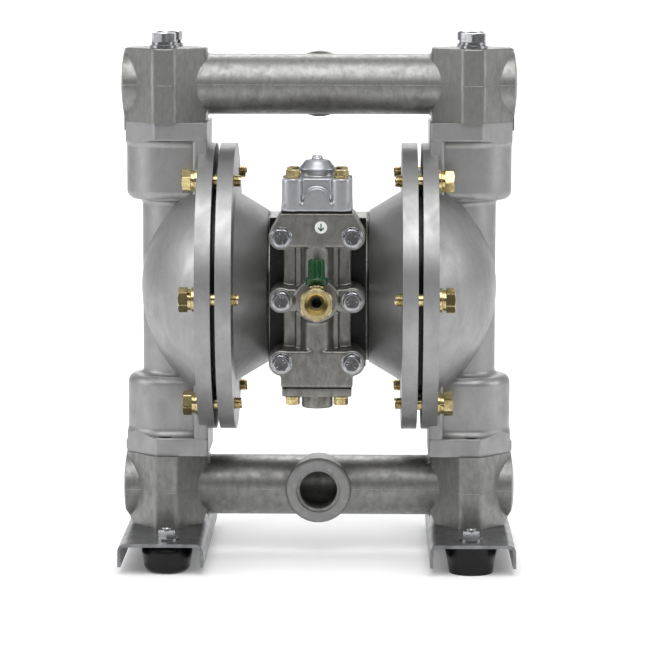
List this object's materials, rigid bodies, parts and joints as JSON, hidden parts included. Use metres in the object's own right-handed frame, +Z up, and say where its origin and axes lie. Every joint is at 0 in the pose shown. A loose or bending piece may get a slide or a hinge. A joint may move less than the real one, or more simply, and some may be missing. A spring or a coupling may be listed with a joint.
{
  "type": "air operated double diaphragm pump",
  "caption": "Air operated double diaphragm pump: two round chambers on a centre block, pipe manifolds above and below, air valve in front, sheet brackets on rubber feet.",
  "frame": {"origin": "on the floor below the middle of the pump, on the shaft's mid-plane", "axes": "+X towards the right hand chamber along the shaft, +Y to the back where the discharge port faces, +Z up"},
  "size_m": [0.3138, 0.2462, 0.4171],
  "materials": {
    "cast_light": "satin light grey coat on a casting",
    "cast_mid": "mottled grey cast skin",
    "cast_dark": "satin dark grey coat on a casting",
    "cast_cover": "die cast, satin",
    "yellow_zinc": "yellow passivated zinc plating",
    "bright_zinc": "bright zinc plating",
    "plain_steel": "turned",
    "bracket_steel": "satin grey coat on sheet steel",
    "black_rubber": "moulded",
    "inlet_brass": "machined",
    "green_plastic": "moulded, semi gloss",
    "white_label": "printed film",
    "white_ball": "smooth",
    "bushing": "turned bearing plastic",
    "muffler_plastic": "moulded"
  },
  "bodies": {
    "frame": {"upper_manifold": "cast_mid", "lower_manifold": "cast_mid", "left_fluid_chamber": "cast_light", "right_fluid_chamber": "cast_light", "left_air_chamber": "cast_light", "right_air_chamber": "cast_light", "centre_block": "cast_dark", "air_valve_body": "cast_dark", "valve_top_cover": "cast_cover", "valve_bottom_cover": "cast_cover", "valve_body_gasket": "black_rubber", "valve_cover_gaskets": "black_rubber", "centre_gaskets": "black_rubber", "manifold_bolts": "bright_zinc", "manifold_flat_washers": "bright_zinc", "manifold_spring_washers": "bright_zinc", "chamber_bolts": "yellow_zinc", "chamber_flat_washers": "yellow_zinc", "chamber_spring_washers": "yellow_zinc", "valve_body_bolts": "bright_zinc", "valve_bolt_flat_washers": "bright_zinc", "valve_bolt_spring_washers": "bright_zinc", "top_cover_screws": "yellow_zinc", "bottom_cover_screws": "yellow_zinc", "cover_screw_washers": "yellow_zinc", "left_foot_bracket": "bracket_steel", "right_foot_bracket": "bracket_steel", "rubber_feet": "black_rubber", "foot_studs": "bright_zinc", "foot_nuts": "bright_zinc", "foot_washers": "bright_zinc", "valve_seats": "plain_steel", "seat_o_rings": "black_rubber", "air_chamber_screws": "plain_steel", "shaft_bushes": "bushing", "shaft_seals": "black_rubber", "left_diaphragm": "black_rubber", "right_diaphragm": "black_rubber", "pilot_bushes": "bushing", "spool_sleeve": "bushing", "inlet_valve_body": "inlet_brass", "inlet_ball_seats": "white_ball", "round_label": "white_label", "exhaust_muffler": "muffler_plastic"},
    "shaft": {"diaphragm_shaft": "plain_steel", "inner_plates": "plain_steel", "outer_plates": "plain_steel", "shaft_nuts": "plain_steel"},
    "pilot": {"pilot_rod": "plain_steel"},
    "spool": {"valve_spool": "cast_cover", "spool_seal_rings": "black_rubber"},
    "left_suction_ball": {"left_suction_ball": "white_ball"},
    "right_suction_ball": {"right_suction_ball": "white_ball"},
    "left_discharge_ball": {"left_discharge_ball": "white_ball"},
    "right_discharge_ball": {"right_discharge_ball": "white_ball"},
    "inlet_cock": {"inlet_handle": "green_plastic", "inlet_valve_stem": "inlet_brass", "inlet_valve_ball": "plain_steel"}
  },
  "joints": [
    {"name": "shaft_slide", "type": "slide", "parent": "frame", "child": "shaft", "axis": [1, 0, 0], "range_m": [-0.014, 0.014], "deforming": ["left_diaphragm", "right_diaphragm"]},
    {"name": "pilot_slide", "type": "slide", "parent": "frame", "child": "pilot", "axis": [1, 0, 0], "range_m": [-0.005, 0.005]},
    {"name": "spool_slide", "type": "slide", "parent": "frame", "child": "spool", "axis": [0, 0, 1], "range_m": [0, 0.012]},
    {"name": "left_suction_lift", "type": "slide", "parent": "frame", "child": "left_suction_ball", "axis": [0, 0, 1], "range_m": [0, 0.008]},
    {"name": "left_discharge_lift", "type": "slide", "parent": "frame", "child": "left_discharge_ball", "axis": [0, 0, 1], "range_m": [0, 0.008]},
    {"name": "right_suction_lift", "type": "slide", "parent": "frame", "child": "right_suction_ball", "axis": [0, 0, 1], "range_m": [0, 0.008]},
    {"name": "right_discharge_lift", "type": "slide", "parent": "frame", "child": "right_discharge_ball", "axis": [0, 0, 1], "range_m": [0, 0.008]},
    {"name": "inlet_turn", "type": "hinge", "parent": "frame", "child": "inlet_cock", "pos_m": [0, -0.116, 0.2149], "axis": [0, 0, 1], "range_deg": [0, 90]}
  ],
  "couplings": [
    {"joint": "pilot_slide", "follows": "shaft_slide", "ratio": 0.357}
  ]
}
